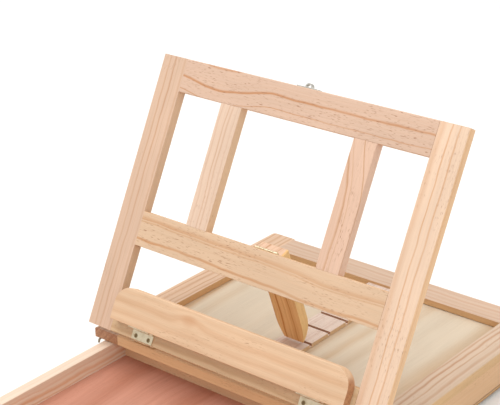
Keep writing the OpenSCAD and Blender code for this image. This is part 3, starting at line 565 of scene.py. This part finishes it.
knob = {
    # distance out from the drawer's face and radius, as shares of the knob's length and half its width
    "profile": ((0, 0), (0, 0.68), (0.05, 0.7), (0.11, 0.68), (0.16, 0.56), (0.24, 0.48), (0.36, 0.47),
                (0.46, 0.56), (0.56, 0.8), (0.66, 0.96), (0.75, 1.0), (0.83, 0.95), (0.91, 0.78),
                (0.97, 0.45), (0.995, 0.18), (1, 0)),
    "sides": 64, "smooth": 6,
}


def throughPoints(points, steps):
    # a smooth curve through the points: each stretch is the cubic that leaves and arrives along the line
    # between its neighbours
    points = np.asarray(points, float)
    padded = np.vstack((2 * points[0] - points[1], points, 2 * points[-1] - points[-2]))
    before, start, end, after = padded[:-3], padded[1:-2], padded[2:-1], padded[3:]
    t = (np.arange(steps) / steps)[None, :, None]
    p0, p1, p2, p3 = (p[:, None, :] for p in (before, start, end, after))
    curve = 0.5 * (2 * p1 + (p2 - p0) * t + (2 * p0 - 5 * p1 + 4 * p2 - p3) * t ** 2
                   + (3 * p1 - p0 - 3 * p2 + p3) * t ** 3)
    return np.vstack((curve.reshape(-1, points.shape[1]), points[-1]))


def turnKnob():
    # the profile's distance out runs along -Y, and its radius is carried round that axis
    low, high = (np.array(c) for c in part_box("drawer_knob"))
    length, radius = high[1] - low[1], (high[0] - low[0]) / 2
    outline = throughPoints(knob["profile"], knob["smooth"])
    out, reach = np.clip(outline[:, 0], 0, 1) * length, np.clip(outline[:, 1], 0, 1) * radius
    angle = np.linspace(0, 2 * np.pi, knob["sides"], endpoint=False)
    grid = np.stack(np.broadcast_arrays(
        (low[0] + high[0]) / 2 + reach[:, None] * np.cos(angle), high[1] - out[:, None],
        (low[2] + high[2]) / 2 + reach[:, None] * np.sin(angle)), axis=-1)
    surface("turned_knob", grid, False, woods["drawer_knob"], "drawer", "drawer_knob")


# the direction square to the plane that each wire is bent in
wirePlane = {"hook_ring": (1.0, 0, 0), "hook_arm": (1.0, 0, 0), "bail_loop": (0, 1.0, 0)}


def wire(name, path, radius, closed, material, body, replaced, sides=20):
    # a circle of the given radius carried along the path; flat is the path's plane normal, so nothing twists
    path, radius = np.asarray(path, float), np.broadcast_to(radius, len(path))
    if closed:
        ahead = np.roll(path, -1, axis=0) - np.roll(path, 1, axis=0)
    else:
        ahead = np.gradient(path, axis=0)
    ahead /= np.linalg.norm(ahead, axis=1, keepdims=True)
    flat = np.array(wirePlane[name])
    beside = np.cross(ahead, flat)
    angle = np.linspace(0, 2 * np.pi, sides, endpoint=False)
    grid = path[:, None] + radius[:, None, None] * (
        np.cos(angle)[None, :, None] * beside[:, None] + np.sin(angle)[None, :, None] * flat)
    surface(name, grid, closed, material, body, replaced)


hook = {
    # mm: wire radius, ring radius, arm length, bent tip, radius of the bend, rise in degrees
    "wire": 1.05, "ring": 2.3, "arm": 20.0, "tip": 5.0, "bend": 2.4, "rise": 20,
    # how finely each is drawn, and the shares of the arm where its straight part has points
    "ringSteps": 48, "bendSteps": 12, "domeSteps": 7, "straightAt": (0.4, 0.7), "smallest": 1e-4,
}


def bendHook():
    # a closed ring round the screw, then an arm along -Y whose end turns down on a round bend and is domed
    screwLow, screwHigh = (np.array(c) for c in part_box("hook_screw"))
    armLow, armHigh = (np.array(c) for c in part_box("hook"))
    pivot = (screwLow + screwHigh) / 2
    pivot[0] = (armLow[0] + armHigh[0]) / 2
    rise = math.radians(hook["rise"])
    lift = np.array(((1, 0, 0), (0, math.cos(rise), -math.sin(rise)), (0, math.sin(rise), math.cos(rise))))
    around = np.linspace(0, 2 * np.pi, hook["ringSteps"], endpoint=False)
    ring = np.stack((0 * around, hook["ring"] * np.cos(around), hook["ring"] * np.sin(around)), axis=1)
    turn = np.linspace(0, np.pi / 2, hook["bendSteps"])
    bent = np.stack((0 * turn, -hook["arm"] + hook["bend"] * (1 - np.sin(turn)),
                     -hook["bend"] * (1 - np.cos(turn))), axis=1)
    straight = np.array([(0, -hook["ring"], 0)] + [(0, -hook["arm"] * share, 0) for share in hook["straightAt"]])
    # the domed end: distance past the straight part and radius follow a quarter circle
    dome = np.linspace(0, np.pi / 2, hook["domeSteps"])
    domed = np.stack((0 * dome, -hook["arm"] + 0 * dome,
                      -hook["tip"] + hook["wire"] * (1 - np.sin(dome))), axis=1)
    arm = np.vstack((straight, bent, domed))
    radius = np.concatenate((np.full(len(straight) + len(bent), hook["wire"]), hook["wire"] * np.cos(dome)))
    ring, arm = ((path @ lift) / 1000 + pivot for path in (ring, arm))
    zinc = metals["dark zinc wire"]
    wire("hook_ring", ring, hook["wire"] / 1000, True, zinc, "hook", "hook")
    wire("hook_arm", arm, np.maximum(radius, hook["smallest"]) / 1000, False, zinc, "hook", None)


bailLoop = {"corner": 0.004, "cornerSteps": 10}


def bendBail():
    # a closed loop in the XZ plane: four straight arms joined by quarter circles
    low, high = (np.array(c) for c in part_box("bail"))
    radius = (high[1] - low[1]) / 2
    middle, half = (low + high) / 2, (high - low) / 2 - radius - bailLoop["corner"]
    turn = np.linspace(0, np.pi / 2, bailLoop["cornerSteps"])
    signs = np.array(((1, 1), (-1, 1), (-1, -1), (1, -1)))
    angles = turn[None, :] + np.arange(4)[:, None] * np.pi / 2
    x = middle[0] + signs[:, :1] * half[0] + bailLoop["corner"] * np.cos(angles)
    z = middle[2] + signs[:, 1:] * half[2] + bailLoop["corner"] * np.sin(angles)
    loop = np.stack((x.ravel(), np.full(x.size, middle[1]), z.ravel()), axis=1)
    wire("bail_loop", loop, radius, True, metals["nickel plated steel"], "bail", "bail")


turnKnob()
bendHook()
bendBail()
print("knob and wires done")
